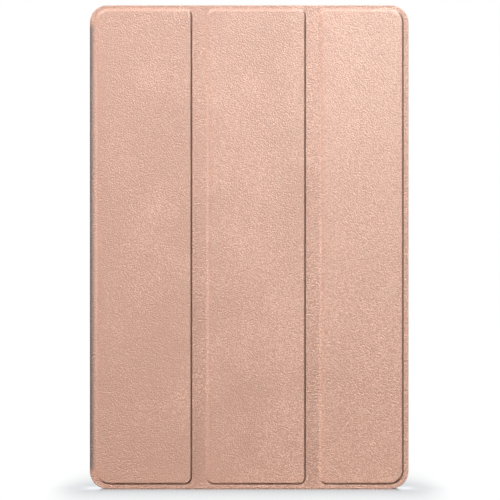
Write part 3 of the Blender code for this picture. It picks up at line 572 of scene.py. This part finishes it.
def panel_skin(number):
    """One panel's skin: the pad, the flat skin, the turned edge and the pocket that holds the board."""
    left, right = panel_sides[number]
    shell = Shell()
    pad = shell.walls([pad_ring(number, *step[:4]) for step in PAD_PROFILE])
    for (verts, _), step in zip(pad, PAD_PROFILE):
        for n, vert in enumerate(verts):
            # Weight of the painted shadow, on the right and lower sides only.
            vert[shell.painted_shadow] = step[4] * sunk_share(n)
    shell.cap(pad[-1])
    rim = [laid(cover_outline(left, right, EDGE_RADIUS + EDGE_LAP), base_front)]
    for step in range(EDGE_STEPS + 1):
        angle = math.radians(90 * step / EDGE_STEPS)
        inset = EDGE_RADIUS * (1 - math.sin(angle))
        drop = EDGE_RADIUS * (1 - math.cos(angle))
        rim.append(laid(cover_outline(left, right, inset), base_front + drop))
    back = base_front + TURNED_DEPTH
    rim.append(laid(cover_outline(left, right, 0.0), back - EDGE_BREAK))
    rim.append(laid(cover_outline(left, right, EDGE_BREAK), back))
    sides = shell.walls(rim)
    shell.between(sides[0], pad[0])
    pocket_outline = pad_outline(number, SKIN)
    pocket = shell.walls([laid(pocket_outline, back), laid(pocket_outline, pad_front + SKIN)])
    shell.between(sides[-1], pocket[0])
    shell.cap(pocket[-1])
    skin = add_object(f"panel_{number}_leatherette", shell.mesh(f"panel_{number}_leatherette"), leatherette)
    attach(skin, f"panel_{number}")
    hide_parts(f"panel_{number}_skin")


for number in (1, 2, 3):
    panel_skin(number)

# Linings. Brushed microfibre, a fine cloth with a short nap, keeps the screen from scratches. It is glued to
# the inside of each panel, a little way in from the turned edge.
LINING_INSET = 0.0008
LINING_EDGE = 0.0002
LINING_DARK = (0.37, 0.25, 0.21)
LINING_LIGHT = (0.50, 0.36, 0.31)
NAP_DEPTH = 0.00008

microfibre = Finish("microfibre", Roughness=0.92, Sheen_Weight=0.35, Sheen_Roughness=0.45)
nap = microfibre.noise(2600.0, 3.0, 0.6)
lengthwise = microfibre.stretched((0, math.radians(78), 0), (3.0, 1.0, 1.0))
brushed = microfibre.noise(210.0, 3.0, 0.6, lengthwise)
microfibre.bump(nap, NAP_DEPTH)
shade = (0.76 * nap + 0.24 * brushed).step(0.3, 0.7)
microfibre.set({"Base_Color": microfibre.colours(shade, LINING_DARK, LINING_LIGHT)})

for number in (1, 2, 3):
    left, right = panel_sides[number]
    shell = Shell()
    steps = (
        (0.0, base_front + TURNED_DEPTH),
        (0.0, lining_back - LINING_EDGE),
        (LINING_EDGE / 3, lining_back - LINING_EDGE / 3),
        (LINING_EDGE, lining_back),
    )
    rings = shell.walls([laid(cover_outline(left, right, LINING_INSET + more), y) for more, y in steps])
    shell.cap(rings[0])
    shell.cap(rings[-1])
    lining = add_object(f"panel_{number}_microfibre", shell.mesh(f"panel_{number}_microfibre"), microfibre)
    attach(lining, f"panel_{number}")
    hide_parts(f"panel_{number}_lining")

# Fold strips. Between two boards the leatherette and the microfibre are pressed onto each other, so the
# strip bends along both its edges. Each strip is built in two halves.
STRIP_STEPS = 14
STRIP_BACK = 0.0004


def wrap_ring(x, y, normal, thickness, low, high):
    """Cross-section of a skin at one point of its path: outer face, rounded ends and inner face."""
    points = []
    for step in range(EDGE_STEPS + 1):
        angle = math.radians(90 * step / EDGE_STEPS)
        sunk = EDGE_RADIUS * (1 - math.sin(angle))
        points.append((sunk, low + EDGE_RADIUS * (1 - math.cos(angle))))
    points += [(sunk, low + high - z) for sunk, z in points[::-1]]
    points += [(thickness, high), (thickness, low)]
    return [(x - normal[0] * sunk, y - normal[1] * sunk, z) for sunk, z in points]


def wrapped(name, path, thickness, lined):
    """A skin along a path of (x, y, normal, low, high), closed at both ends."""
    shell = Shell()
    rings = shell.walls([wrap_ring(x, y, normal, thickness, low, high) for x, y, normal, low, high in path])
    shell.cap(rings[0])
    shell.cap(rings[-1])
    inner = len(rings[0][0]) - 2
    for (lower, _), (upper, _) in zip(rings, rings[1:]):
        for face in lower[inner].link_faces:
            corners = set(face.verts)
            if {lower[inner], lower[inner + 1], upper[inner], upper[inner + 1]} <= corners:
                face.material_index = 1
    return add_object(name, shell.mesh(name), leatherette, lined)


for number in (1, 2):
    outer = panel_sides[number][1]
    inner = panel_sides[number + 1][0]
    half = (outer + inner) / 2
    thickness = TURNED_DEPTH - STRIP_BACK
    for side, (start, end) in {"near": (outer, half), "far": (half, inner)}.items():
        path = []
        for step in range(STRIP_STEPS + 1):
            x = start + (end - start) * step / STRIP_STEPS
            path.append((x, base_front, (0, -1), low_edge, high_edge))
        strip = wrapped(f"fold_{number}_{side}", path, thickness, microfibre)
        if side == "near":
            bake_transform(strip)
            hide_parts(f"fold_strip_{number}")
        else:
            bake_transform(strip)

# Spine. The same skin runs round the left-hand side from the cover to the back, over a narrow board. It
# bends at the front and at the back of the board, and the turn there is darkened by painted shade.
SPINE_SKIN = 0.0008
SPINE_STEPS = 8
BEND_STEPS = 18
BACK_SET_IN = 0.0003
BOARD_LAP = 0.0002
BOARD_CORNER = 0.0006
BOARD_CORNER_STEPS = 4
SHEET_SKIN = 0.0001
SHEET_THICKNESS = 0.00016
SHEET_EDGE = 0.00008

case_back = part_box("back_skin")[1].y
back_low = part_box("back_skin")[0].z + BACK_SET_IN
back_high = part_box("back_skin")[1].z - BACK_SET_IN


def silhouette_ends(x, y):
    """Lower and upper end of the skin at one point of its way round the spine."""
    share = (y - base_front) / (case_back - base_front)
    top = high_edge + (back_high - high_edge) * min(max(share, 0), 1)
    away = left_edge + CORNER - x
    cut = CORNER - math.sqrt(max(CORNER**2 - away**2, 0)) if away > 0 else 0
    return low_edge + cut, top - cut


def corner_path(centre, start, end):
    """The skin's way round one of the spine's two bends, between two angles."""
    path = []
    for step in range(BEND_STEPS + 1):
        angle = math.radians(start + (end - start) * step / BEND_STEPS)
        normal = (math.cos(angle), math.sin(angle))
        x = centre[0] + WRAP_JOIN * normal[0]
        y = centre[1] + WRAP_JOIN * normal[1]
        path.append((x, y, normal, *silhouette_ends(x, y)))
    return path


front_turn = base_front + WRAP_JOIN
back_turn = case_back - WRAP_JOIN
front_bend = wrapped("spine_front_bend", corner_path((wrap_x, front_turn), 180, 270), SPINE_SKIN, microfibre)
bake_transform(front_bend)

side_path = []
for step in range(SPINE_STEPS + 1):
    y = back_turn + (front_turn - back_turn) * step / SPINE_STEPS
    side_path.append((left_edge, y, (-1, 0), *silhouette_ends(left_edge, y)))
spine = wrapped("spine_leatherette", side_path, SPINE_SKIN, microfibre)
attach(spine, "spine")
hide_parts("spine_skin")

board_low, board_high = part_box("spine_board")


def board_ring(rise, inset):
    """The outline of the microfibre that covers the board's inner face, at one height above that face."""
    lap = BOARD_LAP - inset
    sides = (board_low.y - lap, board_high.y + lap, board_low.z - lap, board_high.z + lap)
    outline = rounded(*sides, (BOARD_CORNER,) * 4, BOARD_CORNER_STEPS)
    return [(board_high.x + rise, y, z) for y, z in outline]


shell = Shell()
steps = ((0.0, 0.0), (SHEET_SKIN, 0.0), (SHEET_THICKNESS, SHEET_EDGE))
rings = shell.walls([board_ring(*step) for step in steps])
shell.cap(rings[0])
shell.cap(rings[-1])
spine_cover = add_object("spine_microfibre", shell.mesh("spine_microfibre"), microfibre)
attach(spine_cover, "spine")

back_bend = wrapped("spine_back_bend", corner_path((wrap_x, back_turn), 90, 180), SPINE_SKIN, microfibre)
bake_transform(back_bend)

# Back skin. One sheet of the same leatherette is glued to the tray's back, with a window for the camera and
# the flash. Its edge is turned in all round, and at the left it runs on into the spine.
WINDOW_RADIUS = 0.0083
WINDOW_STEPS = 20
WINDOW_EDGE = 0.0004
GLUE_DEPTH = 0.0002
FREE_SET_IN = 0.0002

free_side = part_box("tray_shell")[1].x - FREE_SET_IN
skin_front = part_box("back_skin")[0].y - GLUE_DEPTH
ring_low, ring_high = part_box("camera_ring")
flash_low, flash_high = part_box("flash_lens")
camera_at = (ring_low + ring_high) / 2
flash_at = (flash_low + flash_high) / 2


def window_outline(grown):
    """The window's outline, a pill round the camera and the flash."""
    points = []
    for start, height in ((180, flash_at.z), (0, camera_at.z)):
        for step in range(WINDOW_STEPS + 1):
            angle = math.radians(start + 180 * step / WINDOW_STEPS)
            radius = WINDOW_RADIUS + grown
            points.append((camera_at.x + radius * math.cos(angle), height + radius * math.sin(angle)))
    return points


def back_outline(inset):
    """The back's outline: cut at the spine, rounded at the free side."""
    shift = free_side - right_edge
    outline = cover_outline(wrap_x, right_edge, inset, back_low, back_high)
    return [(x + shift * (x > 0), z) for x, z in outline]


shell = Shell()
rings = [laid(back_outline(EDGE_RADIUS + EDGE_LAP), case_back)]
for step in range(EDGE_STEPS + 1):
    angle = math.radians(90 * step / EDGE_STEPS)
    drop = EDGE_RADIUS * (1 - math.cos(angle))
    rings.append(laid(back_outline(EDGE_RADIUS * (1 - math.sin(angle))), case_back - drop))
rings.append(laid(back_outline(0.0), skin_front))
sides = shell.walls(rings)
hole = [laid(window_outline(WINDOW_EDGE + EDGE_LAP), case_back)]
for step in range(EDGE_STEPS + 1):
    angle = math.radians(90 * step / EDGE_STEPS)
    drop = WINDOW_EDGE * (1 - math.cos(angle))
    hole.append(laid(window_outline(WINDOW_EDGE * (1 - math.sin(angle))), case_back - drop))
hole.append(laid(window_outline(0.0), skin_front))
hole = shell.walls(hole)
shell.between(sides[0], hole[0])
shell.between(sides[-1], hole[-1])
back = add_object("back_leatherette", shell.mesh("back_leatherette"), leatherette)
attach(back, "tablet_and_tray")
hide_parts("back_skin")

# Tray. A hard shell moulded in the cover's colour grips the tablet by a thin lip all round. Its mould is
# spark-eroded, which gives a fine matt grain and soft edges.
PLASTIC_EDGE = 0.00022
EDGE_ANGLE = math.radians(40)
PLASTIC_DARK = (0.45, 0.235, 0.165)
PLASTIC_LIGHT = (0.55, 0.31, 0.225)


def softened(node, width, *finishes):
    """The node's own shape with its sharp edges rounded over, standing for the node."""
    source = frame["nodes"][node]
    shape = bmesh.new()
    shape.from_mesh(source.data)
    bmesh.ops.remove_doubles(shape, verts=shape.verts, dist=0.000002)
    bmesh.ops.dissolve_limit(shape, angle_limit=math.radians(1), verts=shape.verts, edges=shape.edges)
    mesh = bpy.data.meshes.new(f"{node}_softened")
    shape.to_mesh(mesh)
    shape.free()
    piece = add_object(f"{node}_softened", mesh)
    bevel = piece.modifiers.new("edge", "BEVEL")
    bevel.width = width
    bevel.segments = 2
    bevel.limit_method = "ANGLE"
    bevel.angle_limit = EDGE_ANGLE
    graph = bpy.context.evaluated_depsgraph_get()
    rounded_mesh = bpy.data.meshes.new_from_object(piece.evaluated_get(graph))
    piece.modifiers.clear()
    piece.data = rounded_mesh
    rounded_mesh.name = f"{node}_softened"
    for finish in finishes:
        rounded_mesh.materials.append(finish.material)
    rounded_mesh.shade_smooth()
    rounded_mesh.set_sharp_from_angle(angle=math.radians(50))
    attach(piece, source["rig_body"])
    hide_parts(node)
    return piece


moulded = Finish("moulded_shell", Roughness=0.50, IOR=1.46, Specular_IOR_Level=0.40)
eroded = moulded.noise(5200.0, 2.0, 0.6)
flow = moulded.noise(40.0, 1.0)
moulded.bump(eroded, 0.00003)
moulded.set(
    {
        "Base_Color": moulded.colours(0.7 * flow + 0.3 * eroded, PLASTIC_DARK, PLASTIC_LIGHT),
        "Roughness": 0.42 + 0.16 * eroded,
    }
)
softened("tray_shell", PLASTIC_EDGE, moulded)

# Housing, keys and card tray. The tablet's back and sides are one aluminium shell, milled, blasted with
# fine beads and anodised. The keys and the card tray are cut from the same metal.
METAL_EDGE = 0.00025
KEY_EDGE = 0.00030


def blasted(name, dark, light):
    """Bead-blasted metal between two tones."""
    metal = Finish(name, Metallic=1.0, Roughness=0.34)
    beads = metal.noise(9000.0, 2.0, 0.6)
    cloud = metal.noise(55.0, 2.0)
    metal.bump(beads, 0.000012)
    tone = metal.colours(0.5 * beads + 0.5 * cloud, dark, light)
    metal.set({"Base_Color": tone, "Roughness": 0.28 + 0.14 * beads})
    return metal


aluminium = blasted("blasted_aluminium", (0.52, 0.52, 0.53), (0.64, 0.63, 0.64))
softened("rear_housing", METAL_EDGE, aluminium)
for node in ("power_button", "volume_rocker", "card_tray"):
    softened(node, KEY_EDGE, aluminium)

# Speaker grilles. Behind each sound slot in the housing's short sides lies a thin steel plate, drilled with
# two rows of holes.
GRILLE_LENGTH = 0.0172
GRILLE_WIDTH = 0.0014
GRILLE_THICKNESS = 0.0002
GRILLE_PITCH = 0.00066
GRILLE_COLUMNS = 25
GRILLE_ROWS = 2
HOLE_RADIUS = 0.00022
HOLE_SIDES = 8
WELD = 0.000005
SLOT_FROM_SIDE = 0.0280
HOUSING_WALL = 0.0012
GRILLE_FROM_INSIDE = 0.0005


def drilled_plate():
    """Node tree that drills a plate with rows of round holes."""
    tree = bpy.data.node_groups.new("drilled_plate", "GeometryNodeTree")
    sizes = {
        "Length": GRILLE_LENGTH,
        "Width": GRILLE_WIDTH,
        "Thickness": GRILLE_THICKNESS,
        "Pitch": GRILLE_PITCH,
        "Hole Radius": HOLE_RADIUS,
    }
    for name in sizes:
        tree.interface.new_socket(name, in_out="INPUT", socket_type="NodeSocketFloat")
    for name in ("Columns", "Rows"):
        tree.interface.new_socket(name, in_out="INPUT", socket_type="NodeSocketInt")
    tree.interface.new_socket("Finish", in_out="INPUT", socket_type="NodeSocketMaterial")
    tree.interface.new_socket("Geometry", in_out="OUTPUT", socket_type="NodeSocketGeometry")
    given = tree.nodes.new("NodeGroupInput").outputs

    def node(kind, settings=None, **sockets):
        made = tree.nodes.new(kind)
        for name, value in (settings or {}).items():
            setattr(made, name, value)
        for name, value in sockets.items():
            socket = made.inputs[name.replace("_", " ")]
            for each in value if isinstance(value, list) else [value]:
                if isinstance(each, bpy.types.NodeSocket):
                    tree.links.new(each, socket)
                else:
                    socket.default_value = each
        return made

    def span(count):
        """Length of a row of holes from the first centre to the last."""
        fewer = node("ShaderNodeMath", {"operation": "SUBTRACT"})
        tree.links.new(given[count], fewer.inputs[0])
        fewer.inputs[1].default_value = 1.0
        length = node("ShaderNodeMath", {"operation": "MULTIPLY"})
        tree.links.new(fewer.outputs[0], length.inputs[0])
        tree.links.new(given["Pitch"], length.inputs[1])
        return length.outputs[0]

    centres = node(
        "GeometryNodeMeshGrid",
        Size_X=span("Columns"),
        Size_Y=span("Rows"),
        Vertices_X=given["Columns"],
        Vertices_Y=given["Rows"],
    )
    hole = node("GeometryNodeCurvePrimitiveCircle", Resolution=HOLE_SIDES, Radius=given["Hole Radius"])
    holes = node(
        "GeometryNodeInstanceOnPoints", Points=centres.outputs["Mesh"], Instance=hole.outputs["Curve"]
    )
    cut_holes = node("GeometryNodeRealizeInstances", Geometry=holes.outputs[0])
    outline = node("GeometryNodeCurvePrimitiveQuadrilateral", Width=given["Length"], Height=given["Width"])
    loops = node("GeometryNodeJoinGeometry", Geometry=[outline.outputs[0], cut_holes.outputs[0]])
    face = node("GeometryNodeFillCurve", Curve=loops.outputs[0])
    raised = node(
        "GeometryNodeExtrudeMesh", Mesh=face.outputs[0], Offset_Scale=given["Thickness"], Individual=False
    )
    under = node("GeometryNodeFlipFaces", Mesh=face.outputs[0])
    both = node("GeometryNodeJoinGeometry", Geometry=[raised.outputs["Mesh"], under.outputs[0]])
    welded = node("GeometryNodeMergeByDistance", Geometry=both.outputs[0], Distance=WELD)
    real = node("GeometryNodeRealizeInstances", Geometry=welded.outputs[0])
    finished = node("GeometryNodeSetMaterial", Geometry=real.outputs[0], Material=given["Finish"])
    tree.links.new(finished.outputs[0], tree.nodes.new("NodeGroupOutput").inputs[0])
    return tree, {**sizes, "Columns": GRILLE_COLUMNS, "Rows": GRILLE_ROWS}


steel = Finish("plated_steel", Metallic=1.0, Roughness=0.28)
drawn = steel.noise(900.0, 2.0, 0.5, steel.stretched((0, 0, 0), (12.0, 1.0, 1.0)))
steel.bump(drawn, 0.00001)
steel_tone = steel.colours(drawn, (0.46, 0.46, 0.48), (0.62, 0.62, 0.63))
steel.set({"Base_Color": steel_tone, "Roughness": 0.22 + 0.16 * drawn})

tree, sizes = drilled_plate()
drill = bpy.data.objects.new("speaker_grille", bpy.data.meshes.new("speaker_grille"))
bpy.context.scene.collection.objects.link(drill)
modifier = drill.modifiers.new("drilled", "NODES")
modifier.node_group = tree
named = {item.name: item.identifier for item in tree.interface.items_tree if item.in_out == "INPUT"}
for name, value in {**sizes, "Finish": steel.material}.items():
    modifier[named[name]] = value
graph = bpy.context.evaluated_depsgraph_get()
plate_mesh = bpy.data.meshes.new_from_object(drill.evaluated_get(graph))
bpy.data.objects.remove(drill)
housing_low, housing_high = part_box("rear_housing")
works_middle = (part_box("main_board")[0].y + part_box("shield_can")[1].y) / 2
from_end = HOUSING_WALL - GRILLE_FROM_INSIDE
grilles = bmesh.new()
for x in (housing_low.x + SLOT_FROM_SIDE, housing_high.x - SLOT_FROM_SIDE):
    for z in (housing_low.z + from_end, housing_high.z - from_end - GRILLE_THICKNESS):
        before = set(grilles.verts)
        grilles.from_mesh(plate_mesh)
        added = [vert for vert in grilles.verts if vert not in before]
        bmesh.ops.translate(grilles, vec=(x, works_middle, z), verts=added)
grille_mesh = bpy.data.meshes.new("speaker_grilles")
grilles.to_mesh(grille_mesh)
grilles.free()
grille = add_object("speaker_grilles", grille_mesh, steel)
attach(grille, "tablet_and_tray")

# Screen. The cover glass is printed black behind its border, and the dark display shows through the middle.
# The front camera looks out through a small clear ring in the border.
GLASS_EDGE = 0.00018
DISPLAY_CORNER = 0.0020
PRINT_BLUR = 0.0001
EYE_PUPIL = 0.0007
EYE_RING = 0.0013
DISPLAY_OFF = (0.020, 0.021, 0.026)
PRINTED_BLACK = (0.0035, 0.0035, 0.004)
RING_BLACK = (0.020, 0.021, 0.025)
PUPIL_BLUE = (0.010, 0.014, 0.045)

screen = Finish("screen_glass", Roughness=0.05, IOR=1.52)
display_low, display_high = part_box("display_panel")
front_low, front_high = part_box("front_camera")
across, _, height = screen.axes()
centre = (display_low + display_high) / 2
eye = (front_low + front_high) / 2
straight_x = display_high.x - centre.x - DISPLAY_CORNER
straight_z = display_high.z - centre.z - DISPLAY_CORNER
beside = ((across - centre.x).by("ABSOLUTE") - straight_x).by("MAXIMUM", 0.0)
above = ((height - centre.z).by("ABSOLUTE") - straight_z).by("MAXIMUM", 0.0)
from_corner = (beside * beside + above * above) ** 0.5
display = 1 - from_corner.step(DISPLAY_CORNER - PRINT_BLUR, DISPLAY_CORNER + PRINT_BLUR)
from_eye = ((across - eye.x) ** 2 + (height - eye.z) ** 2) ** 0.5
pupil = 1 - from_eye.step(EYE_PUPIL, EYE_PUPIL + PRINT_BLUR)
ring = 1 - from_eye.step(EYE_RING, EYE_RING + PRINT_BLUR)
smear = screen.noise(22.0, 3.0)
border = screen.colours(pupil, screen.colours(ring, PRINTED_BLACK, RING_BLACK), PUPIL_BLUE)
screen.set(
    {
        "Base_Color": screen.colours(display, border, DISPLAY_OFF),
        "Roughness": 0.035 + 0.05 * smear.step(0.45, 0.75),
    }
)
softened("cover_glass", GLASS_EDGE, screen)

# Rear camera. A turned metal ring holds a dark domed lens with its coloured coating, and the flash sits
# under it behind a clear window.
RING_EDGE = 0.00018
FLASH_EDGE = 0.00015
COATING_FROM, COATING_TO = 0.0004, 0.0015
BARREL_FROM, BARREL_TO = 0.0016, 0.0018
GLASS_BLACK = (0.004, 0.005, 0.010)
COATING_VIOLET = (0.020, 0.012, 0.050)
BARREL_BLACK = (0.003, 0.003, 0.003)
LENS_STEPS = 32
LENS_RINGS = 8
BULGE_SHARE = 0.8
FLASH_RIDGES = 16000.0
FLASH_CLEAR = (0.82, 0.82, 0.78)
FLASH_YELLOW = (0.80, 0.66, 0.16)

ring_metal = blasted("turned_ring", (0.42, 0.42, 0.43), (0.56, 0.56, 0.57))
softened("camera_ring", RING_EDGE, ring_metal)
coated = Finish("coated_lens", Roughness=0.04, IOR=1.60)
across, _, height = coated.axes()
from_middle = ((across - camera_at.x) ** 2 + (height - camera_at.z) ** 2) ** 0.5
glass = coated.colours(from_middle.step(COATING_FROM, COATING_TO), GLASS_BLACK, COATING_VIOLET)
barrel = from_middle.step(BARREL_FROM, BARREL_TO)
coated.set({"Base_Color": coated.colours(barrel, glass, BARREL_BLACK)})
lens_low, lens_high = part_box("camera_lens")
lens_radius = (lens_high.x - lens_low.x) / 2
bulge = (ring_high.y - lens_high.y) * BULGE_SHARE


def lens_ring(radius, y):
    """A circle round the lens's middle at one depth."""
    points = []
    for step in range(LENS_STEPS):
        turn = 2 * math.pi * step / LENS_STEPS
        points.append((camera_at.x + radius * math.cos(turn), y, camera_at.z + radius * math.sin(turn)))
    return points


shell = Shell()
rings = [lens_ring(lens_radius, lens_low.y)]
for step in range(LENS_RINGS):
    share = 1 - step / LENS_RINGS
    rings.append(lens_ring(lens_radius * share, lens_high.y + bulge * (1 - share**2)))
made = shell.walls(rings)
shell.cap(made[0])
shell.cap(made[-1])
dome = add_object("camera_dome", shell.mesh("camera_dome"), coated)
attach(dome, "tablet_and_tray")
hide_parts("camera_lens")

clear = Finish("flash_window", Roughness=0.08, IOR=1.49, Coat_Weight=0.5, Coat_Roughness=0.05)
across, _, height = clear.axes()
from_flash = ((across - flash_at.x) ** 2 + (height - flash_at.z) ** 2) ** 0.5
clear.bump((from_flash * FLASH_RIDGES).by("SINE"), 0.00003)
clear.set({"Base_Color": clear.colours(1 - from_flash.step(0.0007, 0.0013), FLASH_CLEAR, FLASH_YELLOW)})
softened("flash_lens", FLASH_EDGE, clear)

# Charging port. The socket is a deep-drawn steel shell with the contact tongue inside it. It is soldered to
# the lower board behind the middle of the short side.
PORT_EDGE = 0.00006

softened("usb_port", PORT_EDGE, steel)

# Inner pieces. Stiffener boards of grey fibreboard, green circuit boards, black plastic chips and speakers,
# foil pouches, amber film and plated steel screws, cans and switches. They are seen only through the windows
# or when the case and the tablet are taken apart, and keep their own shapes.
fibreboard = Finish("fibreboard", Roughness=0.90)
fibres = fibreboard.noise(1400.0, 3.0, 0.6, fibreboard.stretched((0, 0.4, 0), (4.0, 1.0, 1.0)))
fibreboard.bump(fibres, 0.00005)
fibreboard.set({"Base_Color": fibreboard.colours(fibres, (0.26, 0.23, 0.20), (0.40, 0.36, 0.32))})

solder_mask = Finish("solder_mask", Roughness=0.35)
tracks = solder_mask.cells(900.0).step(0.30, 0.36)
solder_mask.bump(tracks, 0.00003)
solder_mask.set({"Base_Color": solder_mask.colours(tracks, (0.010, 0.070, 0.035), (0.020, 0.130, 0.060))})

black_plastic = Finish("black_plastic", Roughness=0.48)
speckle = black_plastic.noise(4800.0, 2.0)
black_plastic.bump(speckle, 0.00002)
black_tone = black_plastic.colours(speckle, (0.018, 0.018, 0.019), (0.042, 0.042, 0.044))
black_plastic.set({"Base_Color": black_tone})

pouch_foil = Finish("pouch_foil", Roughness=0.38, Metallic=0.35)
crinkle = pouch_foil.noise(260.0, 3.0, 0.6)
pouch_foil.bump(crinkle, 0.00008)
pouch_foil.set({"Base_Color": pouch_foil.colours(crinkle, (0.035, 0.035, 0.040), (0.080, 0.080, 0.088))})

film = Finish("polyimide_film", Roughness=0.32)
traces = (film.axes()[0] * 9000.0).by("SINE").step(-0.2, 0.2)
film.bump(traces, 0.00001)
film.set({"Base_Color": film.colours(traces, (0.33, 0.17, 0.030), (0.46, 0.25, 0.055))})

INNER = {
    fibreboard: ["spine_board", "panel_1_board", "panel_2_board", "panel_3_board"],
    solder_mask: ["main_board", "lower_board", "display_driver"],
    black_plastic: [
        "display_adhesive",
        "processor",
        "memory_chip",
        "rear_camera",
        "front_camera",
        "magnet_sensor",
        "speaker_lower_left",
        "speaker_lower_right",
        "speaker_upper_left",
        "speaker_upper_right",
    ],
    pouch_foil: ["display_panel", "battery_cell_left", "battery_cell_right"],
    film: ["main_flex", "wifi_antenna_left", "wifi_antenna_right"],
    aluminium: ["mid_frame"],
    steel: [
        "cover_magnet_lower",
        "cover_magnet_upper",
        "shield_can",
        "power_switch",
        "volume_switch_up",
        "volume_switch_down",
        "card_reader",
        "microphone",
        *(f"frame_screw_{n}" for n in range(1, 7)),
    ],
}
for finish, nodes in INNER.items():
    for node in nodes:
        for held in frame["nodes"][node].material_slots:
            held.link = "OBJECT"
            held.material = finish.material
